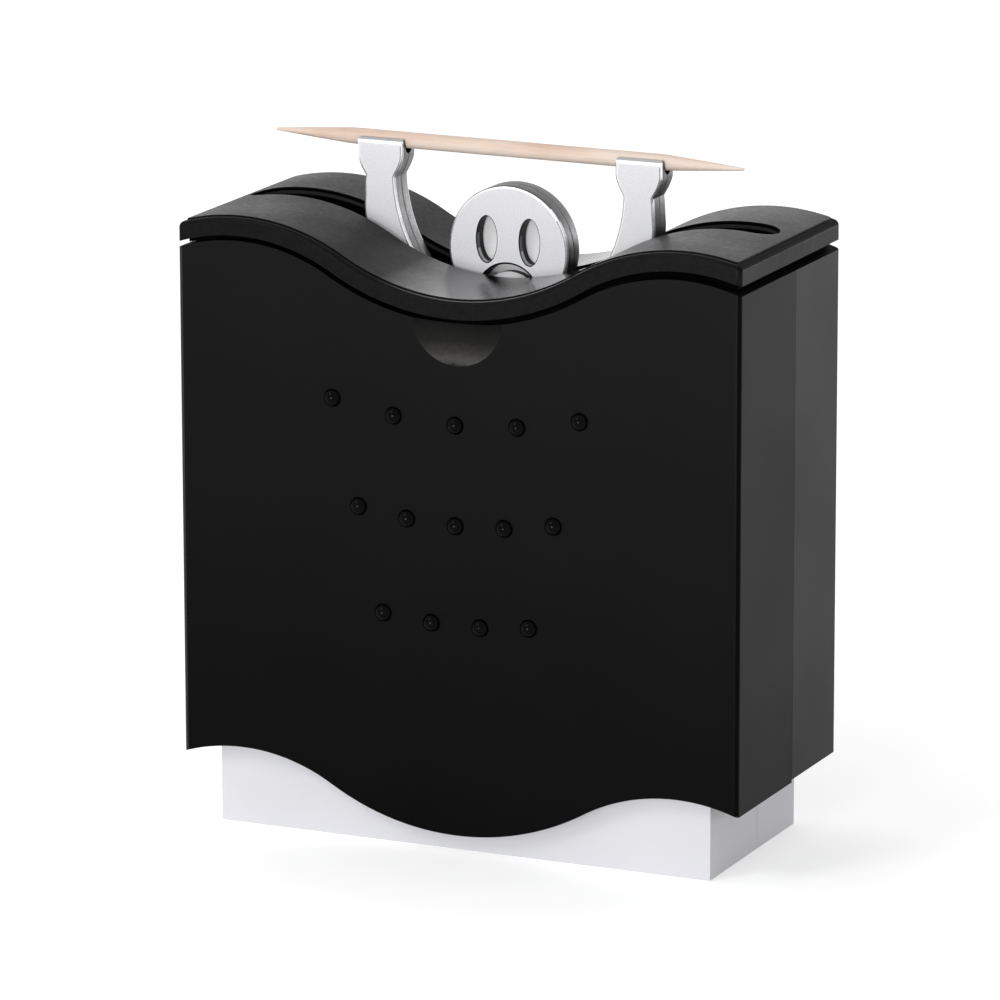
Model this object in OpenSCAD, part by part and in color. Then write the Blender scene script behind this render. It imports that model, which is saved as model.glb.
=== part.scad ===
// Press-down toothpick dispenser: a black housing that slides down over a pale base,
// so that a small figure fixed to the base rises through the hopper and offers one toothpick.
// Millimetres. X runs left to right along the front, Y runs from the front to the back, Z is up.
// The origin lies on the table, below the middle of the housing. The housing is drawn pressed down.

/* [Housing] */
// Width of the housing and the lid, left to right
body_w = 78; // [70:0.5:90]
// Depth of the housing and the lid, front to back
body_d = 33.2; // [30:0.1:40]
// Wall thickness of the two shells
wall = 1.6; // [1.2:0.1:2.5]
// Radius of the housing's upright corners
corner_r = 0.8; // [0.4:0.1:3]
// Height of the shells' lower edge at the valley of the wave
shell_low = 2.4; // [1:0.1:8]
// Height of the shells' upper edge at the valley of the wave
shell_high = 69.4; // [60:0.1:80]
// How far the rear shell's lower edge stands above the front one's
rear_lift = 0.35; // [0:0.05:1]
// Place of the seam between the front and the rear shell, from the middle
seam_y = 1.65; // [0:0.05:4]

/* [Wave edge] */
// Distance of each crest from the middle
crest_x = 30.55; // [20:0.05:36]
// Height of a crest above the valley
wave_rise = 8.33; // [2:0.01:12]
// Radius of the valley's arc
valley_r = 34.9; // [20:0.1:45]

/* [Lid] */
// Gap between the shells and the lid, which shows the hopper's neck
lid_gap = 0.65; // [0.3:0.05:1.5]
// Thickness of the lid's cover, square to its curve
lid_t = 2.35; // [1.6:0.05:4]
// Thickness of the plate that lines the lid
liner_t = 1.5; // [1:0.1:3]
// Length of the slot through the cover
slot_len = 73.2; // [66:0.1:74]
// How far the slot's middle lies from the lid's middle, to the right
slot_x = -0.4; // [-1:0.1:1]
// Width of the slot through the cover
slot_w = 5; // [4.2:0.05:6]

/* [Travel] */
// How far the housing slides up from the pressed position
travel = 27.5; // [20:0.1:30]

/* [Base] */
// Width of the base
base_w = 69; // [60:0.5:74]
// Front face of the base, measured from the middle of the housing
base_front_y = -14.7; // [-15:0.05:-10]
// Rear face of the base
base_rear_y = 13.6; // [10:0.05:15]
// Height of the base's walls
base_h = 48; // [40:0.5:50]
// Wall thickness of the base
base_wall = 2; // [1.5:0.1:3]
// Place of the seam between the base's two halves
base_seam_y = 1; // [-3:0.1:3]
// Thickness of the bottom plate
plate_t = 2.6; // [2:0.1:4]

/* [Figure] */
// Middle plane of the figure, the slot and the toothpick
figure_y = 1.8; // [1:0.05:2.5]
// Thickness of the figure, both halves together
figure_t = 4; // [3:0.1:5]
// Radius of the head
head_r = 8.35; // [6:0.05:10]
// Height of the head's centre
head_z = 76; // [70:0.1:80]
// Distance of each hand's centre from the middle
hand_x = 18.1; // [15:0.1:22]
// Height of the hands' upper edge
hand_top = 88.6; // [84:0.1:92]
// Distance of each eye's centre from the middle
eye_x = 3; // [2.5:0.1:4]
// Width of an eye
eye_w = 3.1; // [2:0.02:4]
// Height of an eye
eye_h = 6.4; // [3:0.1:7]
// Radius of the mouth's upper edge
mouth_r = 4.3; // [3.5:0.1:5]
// Height of the mouth at its middle
mouth_h = 1.65; // [0.8:0.05:2]

/* [Hopper] */
// Height of the trough's floor, where the figure meets the next toothpick
trough_z = 60; // [58:0.1:62]
// Wall thickness of the hopper
hopper_t = 1.3; // [1:0.1:2]
// Half the length of the opening in the trough that the figure passes
gate_half = 21.8; // [21.6:0.1:24]

/* [Springs] */
// Distance of each return spring from the middle
spring_x = 26.5; // [26.4:0.1:27]
// Mean radius of a spring
spring_r = 3.1; // [2.5:0.1:3.3]
// Radius of the spring's wire
wire_r = 0.45; // [0.3:0.05:0.6]
// Number of turns
spring_turns = 13; // [8:1:18]

/* [Toothpick] */
// Length of a toothpick
pick_len = 65; // [60:1:66]
// Radius of a toothpick
pick_r = 1; // [0.8:0.05:1.1]
// Length of each pointed end
point_len = 11; // [5:0.5:15]

/* [Studs] */
// Radius of a stud on the front
stud_r = 1.2; // [0.8:0.05:1.6]
// Height of a stud above the front
stud_h = 0.9; // [0.3:0.05:1.1]

/* [Hidden] */
$fn = 48;
e = 0.01;
half_w = body_w / 2;
half_d = body_d / 2;
in_x = half_w - wall;
in_y = half_d - wall;
// The wave is a valley arc between two crest arcs, which meet it almost in line.
arc_sum = (crest_x * crest_x + wave_rise * wave_rise) / (2 * wave_rise);
// A hair more than the arc that only touches, so that the arcs cross cleanly where they meet.
crest_r = arc_sum - valley_r + 0.04;
bend_x = valley_r * crest_x / arc_sum;
bend_z = valley_r - sqrt(valley_r * valley_r - bend_x * bend_x);
bend_cos = sqrt(1 - pow(crest_x / arc_sum, 2));
lid_low = shell_high + lid_gap;
lid_high = lid_low + lid_t;
liner_high = lid_low - 0.05;
liner_low = liner_high - liner_t;
neck_high = lid_low - 0.15;
// Hopper: outside size, and its trough and slopes.
hop_x = in_x - 0.15;
hop_y = in_y - 0.15;
gate_w = figure_t + 0.6;
trough_a = figure_y - gate_w / 2;
trough_b = figure_y + gate_w / 2;
slope_a = trough_z + 6.5;
slope_b = trough_z + 5;
floor_t = 1.5;
// Screw that joins the shells, through the hopper's lug.
boss_x = half_w - 4.7;
boss_z = 54.5;
boss_r = 2.6;
screw_r = 1;
hole_r = screw_r + 0.06;
// Travel stops: a tab on the base, and a ledge on each shell.
ledge_z = 13;
ledge_h = 3;
tab_z = ledge_z + ledge_h + travel + 0.3;
tab_h = 3;
stop_ys = [-6, 4];
stop_len = 4;
// Figure post and its screws.
post_top = 50;
tang_low = 37;
post_w = 14;
post_d = 8;
fig_screw_zs = [41, 46];
foot_xs = [-11, 11];
plate_screw_x = 29.4;
plate_screw_ys = [-9.6, 8.6];
plate_boss_r = 3.2;
// Springs.
spring_low = plate_t + wire_r + 0.05;
spring_high = trough_z - 3.4;
spring_pitch = (spring_high - spring_low) / spring_turns;
ring_steps = 8;
wire_sides = 6;
echo(least_gap_between_turns = spring_pitch - 2 * wire_r);
groove_r = pick_r + 0.15;
pick_z = hand_top + 0.15;

// ---------- shared shapes ----------

// The area below the wave edge, from the height low up to the wave at the height level.
// With grow, its edge stands off that wave by an even distance.
module under_wave(level, half, low, grow = 0) {
    intersection() {
        translate([-half, low]) square([2 * half, level + wave_rise + grow + 1 - low]);
        union() {
            difference() {
                translate([-half - 1, low - 1])
                    square([2 * half + 2, level + bend_z + grow * bend_cos + 1 - low]);
                translate([0, level + valley_r]) circle(r = valley_r - grow, $fn = 160);
            }
            for (side = [-1, 1]) {
                translate([side * crest_x, level + wave_rise - crest_r]) circle(r = crest_r + grow, $fn = 160);
            }
        }
    }
}

// A slab across the depth whose upper edge, and if wanted whose lower edge, follows the wave.
module wave_block(level, half, half_depth, low) {
    rotate([90, 0, 0]) linear_extrude(height = 2 * half_depth, center = true) under_wave(level, half, low);
}

// A slab between two wave edges of the same shape.
module wave_band(high, low, half, half_depth) {
    rotate([90, 0, 0]) linear_extrude(height = 2 * half_depth, center = true) difference() {
        under_wave(high, half, low - 2);
        under_wave(low, half + 1, low - 5);
    }
}

// A plate of even thickness that follows the shells' upper edge, from one distance above it to another.
module wave_plate(from, to, half, half_depth) {
    rotate([90, 0, 0]) linear_extrude(height = 2 * half_depth, center = true) difference() {
        under_wave(shell_high, half, shell_high - 6, to);
        under_wave(shell_high, half + 1, shell_high - 9, from);
    }
}

// An upright block with rounded corners.
module rounded_block(w, d, r, low, high) {
    translate([0, 0, low]) linear_extrude(height = high - low) {
        square([w - 2 * r, d], center = true);
        square([w, d - 2 * r], center = true);
        for (x = [-1, 1], y = [-1, 1]) {
            translate([x * (w / 2 - r), y * (d / 2 - r)]) circle(r = r);
        }
    }
}

// A slot with round ends along X, cut from low to high.
module slot_cut(len, w, low, high) {
    translate([0, figure_y, low]) linear_extrude(height = high - low) {
        square([len - w, w], center = true);
        for (x = [-1, 1]) {
            translate([x * (len - w) / 2, 0]) circle(d = w);
        }
    }
}

module box(x0, x1, y0, y1, z0, z1) {
    translate([x0, y0, z0]) cube([x1 - x0, y1 - y0, z1 - z0]);
}

// A round bar along Y from y0 to y1.
module bar_y(x, z, r, y0, y1) {
    translate([x, y1, z]) rotate([90, 0, 0]) cylinder(r = r, h = y1 - y0);
}

// A round bar along Z from z0 to z1.
module bar_z(x, y, r, z0, z1) {
    translate([x, y, z0]) cylinder(r = r, h = z1 - z0);
}

// A pointed stick along X, drawn about its middle.
module stick() {
    rotate([0, 90, 0]) {
        translate([0, 0, -pick_len / 2 + point_len]) cylinder(r = pick_r, h = pick_len - 2 * point_len, $fn = 24);
        translate([0, 0, pick_len / 2 - point_len]) cylinder(r1 = pick_r, r2 = 0.15, h = point_len, $fn = 24);
        translate([0, 0, -pick_len / 2]) cylinder(r1 = 0.15, r2 = pick_r, h = point_len, $fn = 24);
    }
}

// ---------- base ----------

module base_walls() {
    difference() {
        box(-base_w / 2, base_w / 2, base_front_y, base_rear_y, 0, base_h);
        box(-base_w / 2 + base_wall, base_w / 2 - base_wall, base_front_y + base_wall,
            base_rear_y - base_wall, -1, base_h + 1);
    }
}

module plate_boss(x, y) {
    difference() {
        bar_z(x, y, plate_boss_r, plate_t + 0.05, 13);
        bar_z(x, y, hole_r, plate_t - 1, 11);
    }
}

module stop_tab(side, y) {
    x = base_w / 2 - 0.5;
    mirror([side > 0 ? 0 : 1, 0, 0]) box(x, x + 2.6, y + 0.2, y + stop_len - 0.2, tab_z, tab_z + tab_h);
}

module base_front_half() {
    color([0.87, 0.87, 0.89]) {
        intersection() {
            base_walls();
            box(-50, 50, -50, base_seam_y, -1, base_h + 1);
        }
        for (side = [-1, 1]) {
            plate_boss(side * plate_screw_x, plate_screw_ys[0]);
            stop_tab(side, stop_ys[0]);
            // A tongue that runs behind the seam and lines the two halves up.
            mirror([side > 0 ? 0 : 1, 0, 0]) {
                box(base_w / 2 - base_wall - 1.3, base_w / 2 - base_wall - 0.1, -3, 4, 20, 40);
                box(base_w / 2 - base_wall - 0.2, base_w / 2 - base_wall + 0.2, -3, base_seam_y - 0.4, 20, 40);
            }
        }
    }
}

module base_rear_half() {
    color([0.87, 0.87, 0.89]) {
        intersection() {
            base_walls();
            box(-50, 50, base_seam_y, 50, -1, base_h + 1);
        }
        for (side = [-1, 1]) {
            plate_boss(side * plate_screw_x, plate_screw_ys[1]);
            stop_tab(side, stop_ys[1]);
        }
    }
}

module base_bottom_plate() {
    px = base_w / 2 - base_wall - 0.1;
    color([0.8, 0.8, 0.82]) difference() {
        union() {
            box(-px, px, base_front_y + base_wall + 0.1, base_rear_y - base_wall - 0.1, 0, plate_t);
            // Posts that hold the springs upright.
            for (side = [-1, 1]) {
                bar_z(side * spring_x, figure_y, spring_r - wire_r - 0.35, plate_t - 0.5, 14);
            }
        }
        for (x = [-plate_screw_x, plate_screw_x], y = plate_screw_ys) {
            bar_z(x, y, hole_r, -1, plate_t + 1);
            bar_z(x, y, 2.1, -1, 1.3);
        }
        for (x = foot_xs) {
            bar_z(x, figure_y, hole_r, -1, plate_t + 1);
            bar_z(x, figure_y, 2.1, -1, 1.3);
        }
    }
}

module screw_up(x, y, top) {
    difference() {
        union() {
            bar_z(x, y, 2, 0.15, 1.28);
            bar_z(x, y, screw_r, 1, top);
        }
        box(x - 1.3, x + 1.3, y - 0.25, y + 0.25, 0, 0.6);
        box(x - 0.25, x + 0.25, y - 1.3, y + 1.3, 0, 0.6);
    }
}

module base_plate_screws() {
    color([0.6, 0.6, 0.62]) for (x = [-plate_screw_x, plate_screw_x], y = plate_screw_ys) {
        screw_up(x, y, 10.5);
    }
}

// ---------- figure ----------

// One raised hand: a cup that narrows to the wrist.
module hand_outline() {
    translate([hand_x, 0]) polygon([
        [-2.0, hand_top - 4.4], [2.0, hand_top - 4.4], [2.62, hand_top - 3.1],
        [3.02, hand_top - 1.9], [3.15, hand_top], [-3.15, hand_top],
        [-3.02, hand_top - 1.9], [-2.62, hand_top - 3.1]]);
}

// One arm: straight below the hand, then curving in under the head to the shoulder.
module arm_outline() {
    difference() {
        union() {
            translate([hand_x - 6, hand_top - 8.4]) square([8.1, 4.2]);
            intersection() {
                translate([9.25, hand_top - 8.3]) circle(r = 11, $fn = 120);
                translate([4, hand_top - 22]) square([18, 13.7]);
            }
        }
        translate([-4.5, hand_top - 3.7]) circle(r = 20.5, $fn = 180);
    }
}

module figure_outline() {
    translate([0, head_z]) circle(r = head_r, $fn = 96);
    for (side = [0, 1]) {
        mirror([side, 0]) {
            hand_outline();
            arm_outline();
        }
    }
    // Shoulders, torso and the tang that goes into the post.
    polygon([[-11.8, 72], [-8.5, 68.5], [-5, 62], [-5, tang_low], [5, tang_low], [5, 62], [8.5, 68.5],
        [11.8, 72]]);
}

module figure_half(front) {
    y0 = front ? figure_y - figure_t / 2 : figure_y;
    difference() {
        translate([0, y0 + figure_t / 2, 0]) rotate([90, 0, 0])
            linear_extrude(height = figure_t / 2) figure_outline();
        // The groove that the toothpick lies in.
        for (side = [-1, 1]) {
            translate([side * hand_x - 4, figure_y, hand_top + 0.1]) rotate([0, 90, 0])
                cylinder(r = groove_r, h = 8, $fn = 32);
        }
        for (z = fig_screw_zs) {
            bar_y(0, z, hole_r, y0 - 1, y0 + 3);
        }
    }
}

module figure_front_half() {
    y0 = figure_y - figure_t / 2;
    mouth_top = head_z - 1.85;
    color([0.86, 0.86, 0.88]) difference() {
        figure_half(true);
        // Eyes: upright ellipses through this half, so that the rear half shows in them.
        for (side = [-1, 1]) {
            translate([side * eye_x, 0, head_z + 1.2]) scale([eye_w / 2, 1, eye_h / 2])
                bar_y(0, 0, 1, y0 - 1, figure_y + 1);
        }
        // Mouth: an arch, curved down at the ends, through this half.
        intersection() {
            difference() {
                bar_y(0, mouth_top - mouth_r, mouth_r, y0 - 1, figure_y + 1);
                bar_y(0, mouth_top - mouth_h - 6.5, 6.5, y0 - 2, figure_y + 2);
            }
            box(-5, 5, y0 - 2, figure_y + 2, mouth_top - 2.9, head_z + 1);
        }
    }
}

module figure_rear_half() {
    color([0.82, 0.82, 0.84]) figure_half(false);
}

module figure_post() {
    y0 = figure_y - post_d / 2;
    y1 = figure_y + post_d / 2;
    color([0.75, 0.75, 0.77]) difference() {
        union() {
            box(-post_w / 2, post_w / 2, y0, y1, plate_t + 0.02, post_top);
            box(-15, 15, y0, y1, plate_t + 0.02, 7);
            // Webs that stiffen the foot.
            for (side = [-1, 1]) {
                mirror([side > 0 ? 0 : 1, 0, 0]) translate([0, figure_y + 0.8, 0]) rotate([90, 0, 0])
                    linear_extrude(height = 1.6) polygon([[6, 6], [8.3, 6], [8.3, 11], [6, 18]]);
            }
        }
        // Fork that holds the figure's tang.
        box(-5.05, 5.05, figure_y - figure_t / 2 - 0.05, figure_y + figure_t / 2 + 0.05, tang_low - 0.1,
            post_top + 1);
        // The post is hollow below the fork.
        box(-5, 5, figure_y - 2.4, y1 + 1, 10, 33);
        for (z = fig_screw_zs) {
            bar_y(0, z, hole_r, y0 - 1, y1 - 0.6);
            bar_y(0, z, 2.1, y0 - 1, y0 + 1.1);
        }
        for (x = foot_xs) {
            bar_z(x, figure_y, hole_r, plate_t - 1, 6.4);
        }
    }
}

module figure_cross_screws() {
    y0 = figure_y - post_d / 2;
    color([0.6, 0.6, 0.62]) for (z = fig_screw_zs) {
        difference() {
            union() {
                bar_y(0, z, 2, y0 + 0.1, y0 + 1.08);
                bar_y(0, z, screw_r, y0 + 0.8, y0 + 7.2);
            }
            box(-1.3, 1.3, y0, y0 + 0.5, z - 0.25, z + 0.25);
            box(-0.25, 0.25, y0, y0 + 0.5, z - 1.3, z + 1.3);
        }
    }
}

module figure_foot_screws() {
    color([0.6, 0.6, 0.62]) for (x = foot_xs) {
        screw_up(x, figure_y, 6.2);
    }
}

// ---------- springs ----------

// One wound wire: rings of points along a helix, joined ring to ring, with an end cap at each end.
module wound_spring() {
    steps = spring_turns * ring_steps;
    rings = [for (i = [0 : steps]) let (a = 360 * i / ring_steps, z = spring_low + spring_pitch * i / ring_steps)
        for (j = [0 : wire_sides - 1]) let (b = 360 * j / wire_sides)
            [(spring_r + wire_r * cos(b)) * cos(a), (spring_r + wire_r * cos(b)) * sin(a), z + wire_r * sin(b)]];
    first = [[for (j = [0 : wire_sides - 1]) j]];
    last = [[for (j = [0 : wire_sides - 1]) steps * wire_sides + wire_sides - 1 - j]];
    sides = [for (i = [0 : steps - 1]) for (j = [0 : wire_sides - 1])
        let (k = (j + 1) % wire_sides, p = i * wire_sides, q = (i + 1) * wire_sides)
            for (t = [[p + j, q + j, q + k], [p + j, q + k, p + k]]) t];
    polyhedron(points = rings, faces = concat(first, last, sides), convexity = 20);
}

module return_spring_left() {
    color([0.7, 0.7, 0.72]) translate([-spring_x, figure_y, 0]) wound_spring();
}

module return_spring_right() {
    color([0.7, 0.7, 0.72]) translate([spring_x, figure_y, 0]) wound_spring();
}

// ---------- housing ----------

module shell_ring(low) {
    difference() {
        intersection() {
            wave_band(shell_high, low, half_w + 1, half_d + 1);
            rounded_block(body_w, body_d, corner_r, -1, shell_high + wave_rise + 2);
        }
        box(-in_x, in_x, -in_y, in_y, -5, shell_high + wave_rise + 5);
    }
}

// Rows of studs: distance from the middle, and the height of each row's middle.
stud_rows = [[56.4, [-17.2, -8.6, 0, 8.6, 17.2]], [43.3, [-13.6, -6.8, 0, 6.8, 13.6]],
    [30.2, [-10.2, -3.4, 3.4, 10.2]]];

// Each row bows up gently towards the sides.
function stud_z(row, x) = row + x * x / 144;

module stop_ledge(side, y) {
    mirror([side > 0 ? 0 : 1, 0, 0]) box(base_w / 2 + 0.7, in_x + 0.5, y, y + stop_len, ledge_z, ledge_z + ledge_h);
}

module guide_rib(side, y) {
    mirror([side > 0 ? 0 : 1, 0, 0]) box(base_w / 2 + 0.2, in_x + 0.5, y, y + 2, 12, base_h);
}

module front_shell() {
    dish_r = (6.3 * 6.3 + 1.2 * 1.2) / 2.4;
    color([0.11, 0.11, 0.115]) difference() {
        union() {
            intersection() {
                shell_ring(shell_low);
                box(-50, 50, -50, seam_y, -5, 90);
            }
            for (side = [-1, 1]) {
                stop_ledge(side, stop_ys[0]);
                guide_rib(side, -11);
                bar_y(side * boss_x, boss_z, boss_r, -in_y - 0.3, trough_a + 0.3);
            }
        }
        // Thumb dish under the lid's edge.
        translate([0.3, -half_d + 1.2 - dish_r, shell_high + 1]) sphere(r = dish_r, $fn = 120);
        // Blind holes for the studs' pegs.
        for (row = stud_rows, x = row[1]) {
            bar_y(x, stud_z(row[0], x), 0.55, -half_d - 1, -half_d + 1.1);
        }
        for (side = [-1, 1]) {
            bar_y(side * boss_x, boss_z, hole_r, -8, seam_y);
        }
    }
}

module rear_shell() {
    color([0.11, 0.11, 0.115]) difference() {
        union() {
            intersection() {
                shell_ring(shell_low + rear_lift);
                box(-50, 50, seam_y, 50, -5, 90);
            }
            for (side = [-1, 1]) {
                stop_ledge(side, stop_ys[1]);
                guide_rib(side, 9.5);
                bar_y(side * boss_x, boss_z, boss_r, trough_a + 3.8, in_y + 0.3);
                // Rear guide rib, behind the base's rear wall.
                box(side * 20 - 1, side * 20 + 1, base_rear_y + 0.25, in_y + 0.5, 12, base_h);
                // Tongue that runs inside the front shell and lines the two up.
                mirror([side > 0 ? 0 : 1, 0, 0]) {
                    box(in_x - 1.2, in_x - 0.1, -1, 3.5, 22, 50);
                    box(in_x - 0.3, in_x + 0.3, seam_y + 0.4, 3.5, 22, 50);
                }
            }
        }
        for (side = [-1, 1]) {
            bar_y(side * boss_x, boss_z, hole_r, seam_y, half_d + 1);
            bar_y(side * boss_x, boss_z, 2.1, in_y, half_d + 1);
        }
    }
}

module shell_screws() {
    color([0.35, 0.35, 0.36]) for (side = [-1, 1]) {
        difference() {
            union() {
                bar_y(side * boss_x, boss_z, 2, in_y + 0.05, half_d - 0.25);
                bar_y(side * boss_x, boss_z, screw_r, -7.5, in_y + 0.3);
            }
            box(side * boss_x - 1.3, side * boss_x + 1.3, half_d - 0.8, half_d, boss_z - 0.25, boss_z + 0.25);
            box(side * boss_x - 0.25, side * boss_x + 0.25, half_d - 0.8, half_d, boss_z - 1.3, boss_z + 1.3);
        }
    }
}

// Studs: a dome on a short peg.
module front_studs() {
    dome_r = (stud_r * stud_r + stud_h * stud_h) / (2 * stud_h);
    color([0.05, 0.05, 0.05]) for (row = stud_rows, x = row[1]) {
        translate([x, -half_d, stud_z(row[0], x)]) rotate([90, 0, 0]) {
            rotate_extrude($fn = 24) intersection() {
                translate([0, stud_h - dome_r]) circle(r = dome_r, $fn = 64);
                square([stud_r + 1, stud_h + 1]);
            }
            translate([0, 0, -1]) cylinder(r = 0.5, h = 1.05, $fn = 16);
        }
    }
}

module hopper() {
    color([0.16, 0.16, 0.165]) difference() {
        union() {
            // Upright walls, whose upper edge follows the wave.
            difference() {
                wave_block(neck_high, hop_x, hop_y, trough_z + 2);
                box(-hop_x + hopper_t, hop_x - hopper_t, -hop_y + hopper_t, hop_y - hopper_t,
                    trough_z, shell_high + wave_rise + 5);
            }
            // Trough and the two slopes above it.
            translate([-hop_x, 0, 0]) rotate([90, 0, 90]) linear_extrude(height = 2 * hop_x) polygon([
                [-hop_y, slope_a], [trough_a, trough_z], [trough_b, trough_z], [hop_y, slope_b],
                [hop_y, slope_b - floor_t - 2], [trough_b, trough_z - floor_t],
                [trough_a, trough_z - floor_t], [-hop_y, slope_a - floor_t - 2]]);
            // End walls down to the trough.
            for (side = [-1, 1]) {
                mirror([side > 0 ? 0 : 1, 0, 0]) {
                    box(hop_x - hopper_t, hop_x, -9, 11, trough_z - floor_t, trough_z + 3);
                    // Lug for the screw that joins the shells.
                    box(boss_x - boss_r, hop_x, trough_a + 0.4, trough_a + 3.7, boss_z - boss_r, trough_z - 0.5);
                }
                // Cup for the spring's upper end.
                bar_z(side * spring_x, figure_y, 4.8, trough_z - 6, trough_z - 0.5);
            }
        }
        // The gate that the figure passes through.
        box(-gate_half, gate_half, trough_a, trough_b, trough_z - 10, trough_z + 1);
        for (side = [-1, 1]) {
            bar_z(side * spring_x, figure_y, spring_r + wire_r + 0.25, trough_z - 7, spring_high + wire_r + 0.05);
            bar_y(side * boss_x, boss_z, hole_r, trough_a, trough_a + 4);
        }
    }
}

// Spare toothpicks that lie on the slopes, clear of the figure's path.
module stored_toothpicks() {
    ang_a = atan2(slope_a - trough_z, trough_a + hop_y);
    ang_b = atan2(slope_b - trough_z, hop_y - trough_b);
    color([0.86, 0.74, 0.52]) {
        for (i = [0 : 4]) {
            translate([0, trough_a, trough_z]) rotate([-ang_a, 0, 0]) translate([(i % 2) * 1.2 - 0.6, -2.3 - 2.1 * i,
                pick_r + 0.05]) stick();
        }
        for (i = [0 : 2]) {
            translate([0, trough_a, trough_z]) rotate([-ang_a, 0, 0]) translate([(i % 2) * 1.4 - 0.7, -5.45 - 2.1 * i,
                pick_r + 1.92]) stick();
        }
        for (i = [0 : 3]) {
            translate([0, trough_b, trough_z]) rotate([ang_b, 0, 0]) translate([0.6 - (i % 2) * 1.2, 2.3 + 2.1 * i,
                pick_r + 0.05]) stick();
        }
    }
}

// ---------- lid ----------

module lid_cover() {
    color([0.14, 0.14, 0.145]) difference() {
        intersection() {
            wave_plate(lid_gap, lid_gap + lid_t, half_w + 1, half_d + 1);
            rounded_block(body_w, body_d, corner_r, lid_low - 3, lid_high + wave_rise + 2);
        }
        translate([slot_x, 0, 0]) slot_cut(slot_len, slot_w, lid_low - 3, lid_high + wave_rise + 2);
        for (x = [-crest_x, crest_x], y = [-1, 1]) {
            bar_z(x, figure_y + y * 8.5, 0.66, lid_low + wave_rise - 1, lid_low + wave_rise + 1.6);
        }
    }
}

module lid_liner() {
    color([0.2, 0.2, 0.205]) difference() {
        wave_plate(lid_gap - 0.05 - liner_t, lid_gap - 0.05, hop_x - hopper_t - 0.25, hop_y - hopper_t - 0.2);
        slot_cut(slot_len - 3.2, slot_w - 0.2, liner_low - 3, liner_high + wave_rise + 2);
        for (x = [-crest_x, crest_x], y = [-1, 1]) {
            bar_z(x, figure_y + y * 8.5, 0.66, liner_low, liner_high + wave_rise + 1);
        }
    }
}

module lid_liner_screws() {
    z = liner_low + wave_rise;
    color([0.6, 0.6, 0.62]) for (x = [-crest_x, crest_x], y = [-1, 1]) {
        bar_z(x, figure_y + y * 8.5, 0.6, z - 0.2, lid_low + wave_rise + 1.4);
        bar_z(x, figure_y + y * 8.5, 1.2, z - 0.85, z - 0.05);
    }
}

// ---------- toothpick ----------

// The toothpick on offer lies in the hands' grooves, a little off centre and a little tipped.
module toothpick() {
    color([0.9, 0.8, 0.62]) translate([-1, figure_y, pick_z + 0.1]) rotate([0, 0.3, 0]) stick();
}

base_front_half();
base_rear_half();
base_bottom_plate();
base_plate_screws();
figure_front_half();
figure_rear_half();
figure_post();
figure_cross_screws();
figure_foot_screws();
return_spring_left();
return_spring_right();
front_shell();
rear_shell();
shell_screws();
front_studs();
hopper();
stored_toothpicks();
lid_cover();
lid_liner();
lid_liner_screws();
toothpick();
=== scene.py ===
import math
import random
import bmesh
import bpy
from mathutils import Matrix, Vector


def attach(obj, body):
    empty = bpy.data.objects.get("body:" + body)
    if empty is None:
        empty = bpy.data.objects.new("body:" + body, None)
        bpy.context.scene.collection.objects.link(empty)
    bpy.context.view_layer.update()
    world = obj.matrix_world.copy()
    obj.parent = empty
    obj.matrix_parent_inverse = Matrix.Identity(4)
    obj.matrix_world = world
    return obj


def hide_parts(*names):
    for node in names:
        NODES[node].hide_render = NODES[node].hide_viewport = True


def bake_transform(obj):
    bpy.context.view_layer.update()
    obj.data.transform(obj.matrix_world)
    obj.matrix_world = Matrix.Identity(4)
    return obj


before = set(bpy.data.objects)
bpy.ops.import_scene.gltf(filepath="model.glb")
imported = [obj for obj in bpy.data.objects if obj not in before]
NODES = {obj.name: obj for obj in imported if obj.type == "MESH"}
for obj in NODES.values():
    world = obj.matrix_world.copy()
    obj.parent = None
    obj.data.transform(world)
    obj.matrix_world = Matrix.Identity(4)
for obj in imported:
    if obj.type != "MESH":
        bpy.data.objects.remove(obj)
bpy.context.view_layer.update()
MM = 0.001


# ---------- camera: fitted to the photograph ----------

# Where the camera stands, in degrees, and what it aims at, in millimetres from the middle of the object.
AZIMUTH, ELEVATION, ROLL = 24.399, 13.565, -0.11
AIM_HEIGHT, AIM_RIGHT, AIM_UP, DISTANCE = 45, -1.16, -1.88, 880.76
FOCAL_PIXELS, PICTURE_WIDTH, SENSOR = 6823.98, 1000, 36.0


def make_camera():
    """A camera without shift or depth of field, at the place from which the photograph was taken."""
    az, el, roll = math.radians(AZIMUTH), math.radians(ELEVATION), math.radians(ROLL)
    right = Vector((math.cos(az), math.sin(az), 0))
    back = Vector((math.sin(az) * math.cos(el), -math.cos(az) * math.cos(el), math.sin(el)))
    up = back.cross(right)
    target = Vector((0, 0, AIM_HEIGHT)) + right * AIM_RIGHT + up * AIM_UP
    eye = target + back * DISTANCE
    rolled_right = right * math.cos(roll) + up * math.sin(roll)
    rolled_up = up * math.cos(roll) - right * math.sin(roll)
    cam = bpy.data.cameras.new("camera")
    cam.sensor_width = SENSOR
    cam.lens = FOCAL_PIXELS / PICTURE_WIDTH * SENSOR
    cam.clip_start = 0.05
    cam.clip_end = 20
    ob = bpy.data.objects.new("camera", cam)
    m = Matrix((rolled_right, rolled_up, back)).transposed().to_4x4()
    m.translation = eye * MM
    ob.matrix_world = m
    bpy.context.scene.collection.objects.link(ob)
    bpy.context.scene.camera = ob


make_camera()

# ---------- measures, in millimetres, as in the CAD unless a comment says otherwise ----------

# The housing: width, depth and wall, its lower and upper edge at the wave's valley, and its seam.
W, D, WALL = 78.0, 33.2, 1.6
SHELL_LOW, SHELL_HIGH, SEAM = 2.4, 69.4, 1.65
REAR_LIFT = 0.35
# The upright corners, which are a little sharper here than in the CAD.
CORNER = 0.6
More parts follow.
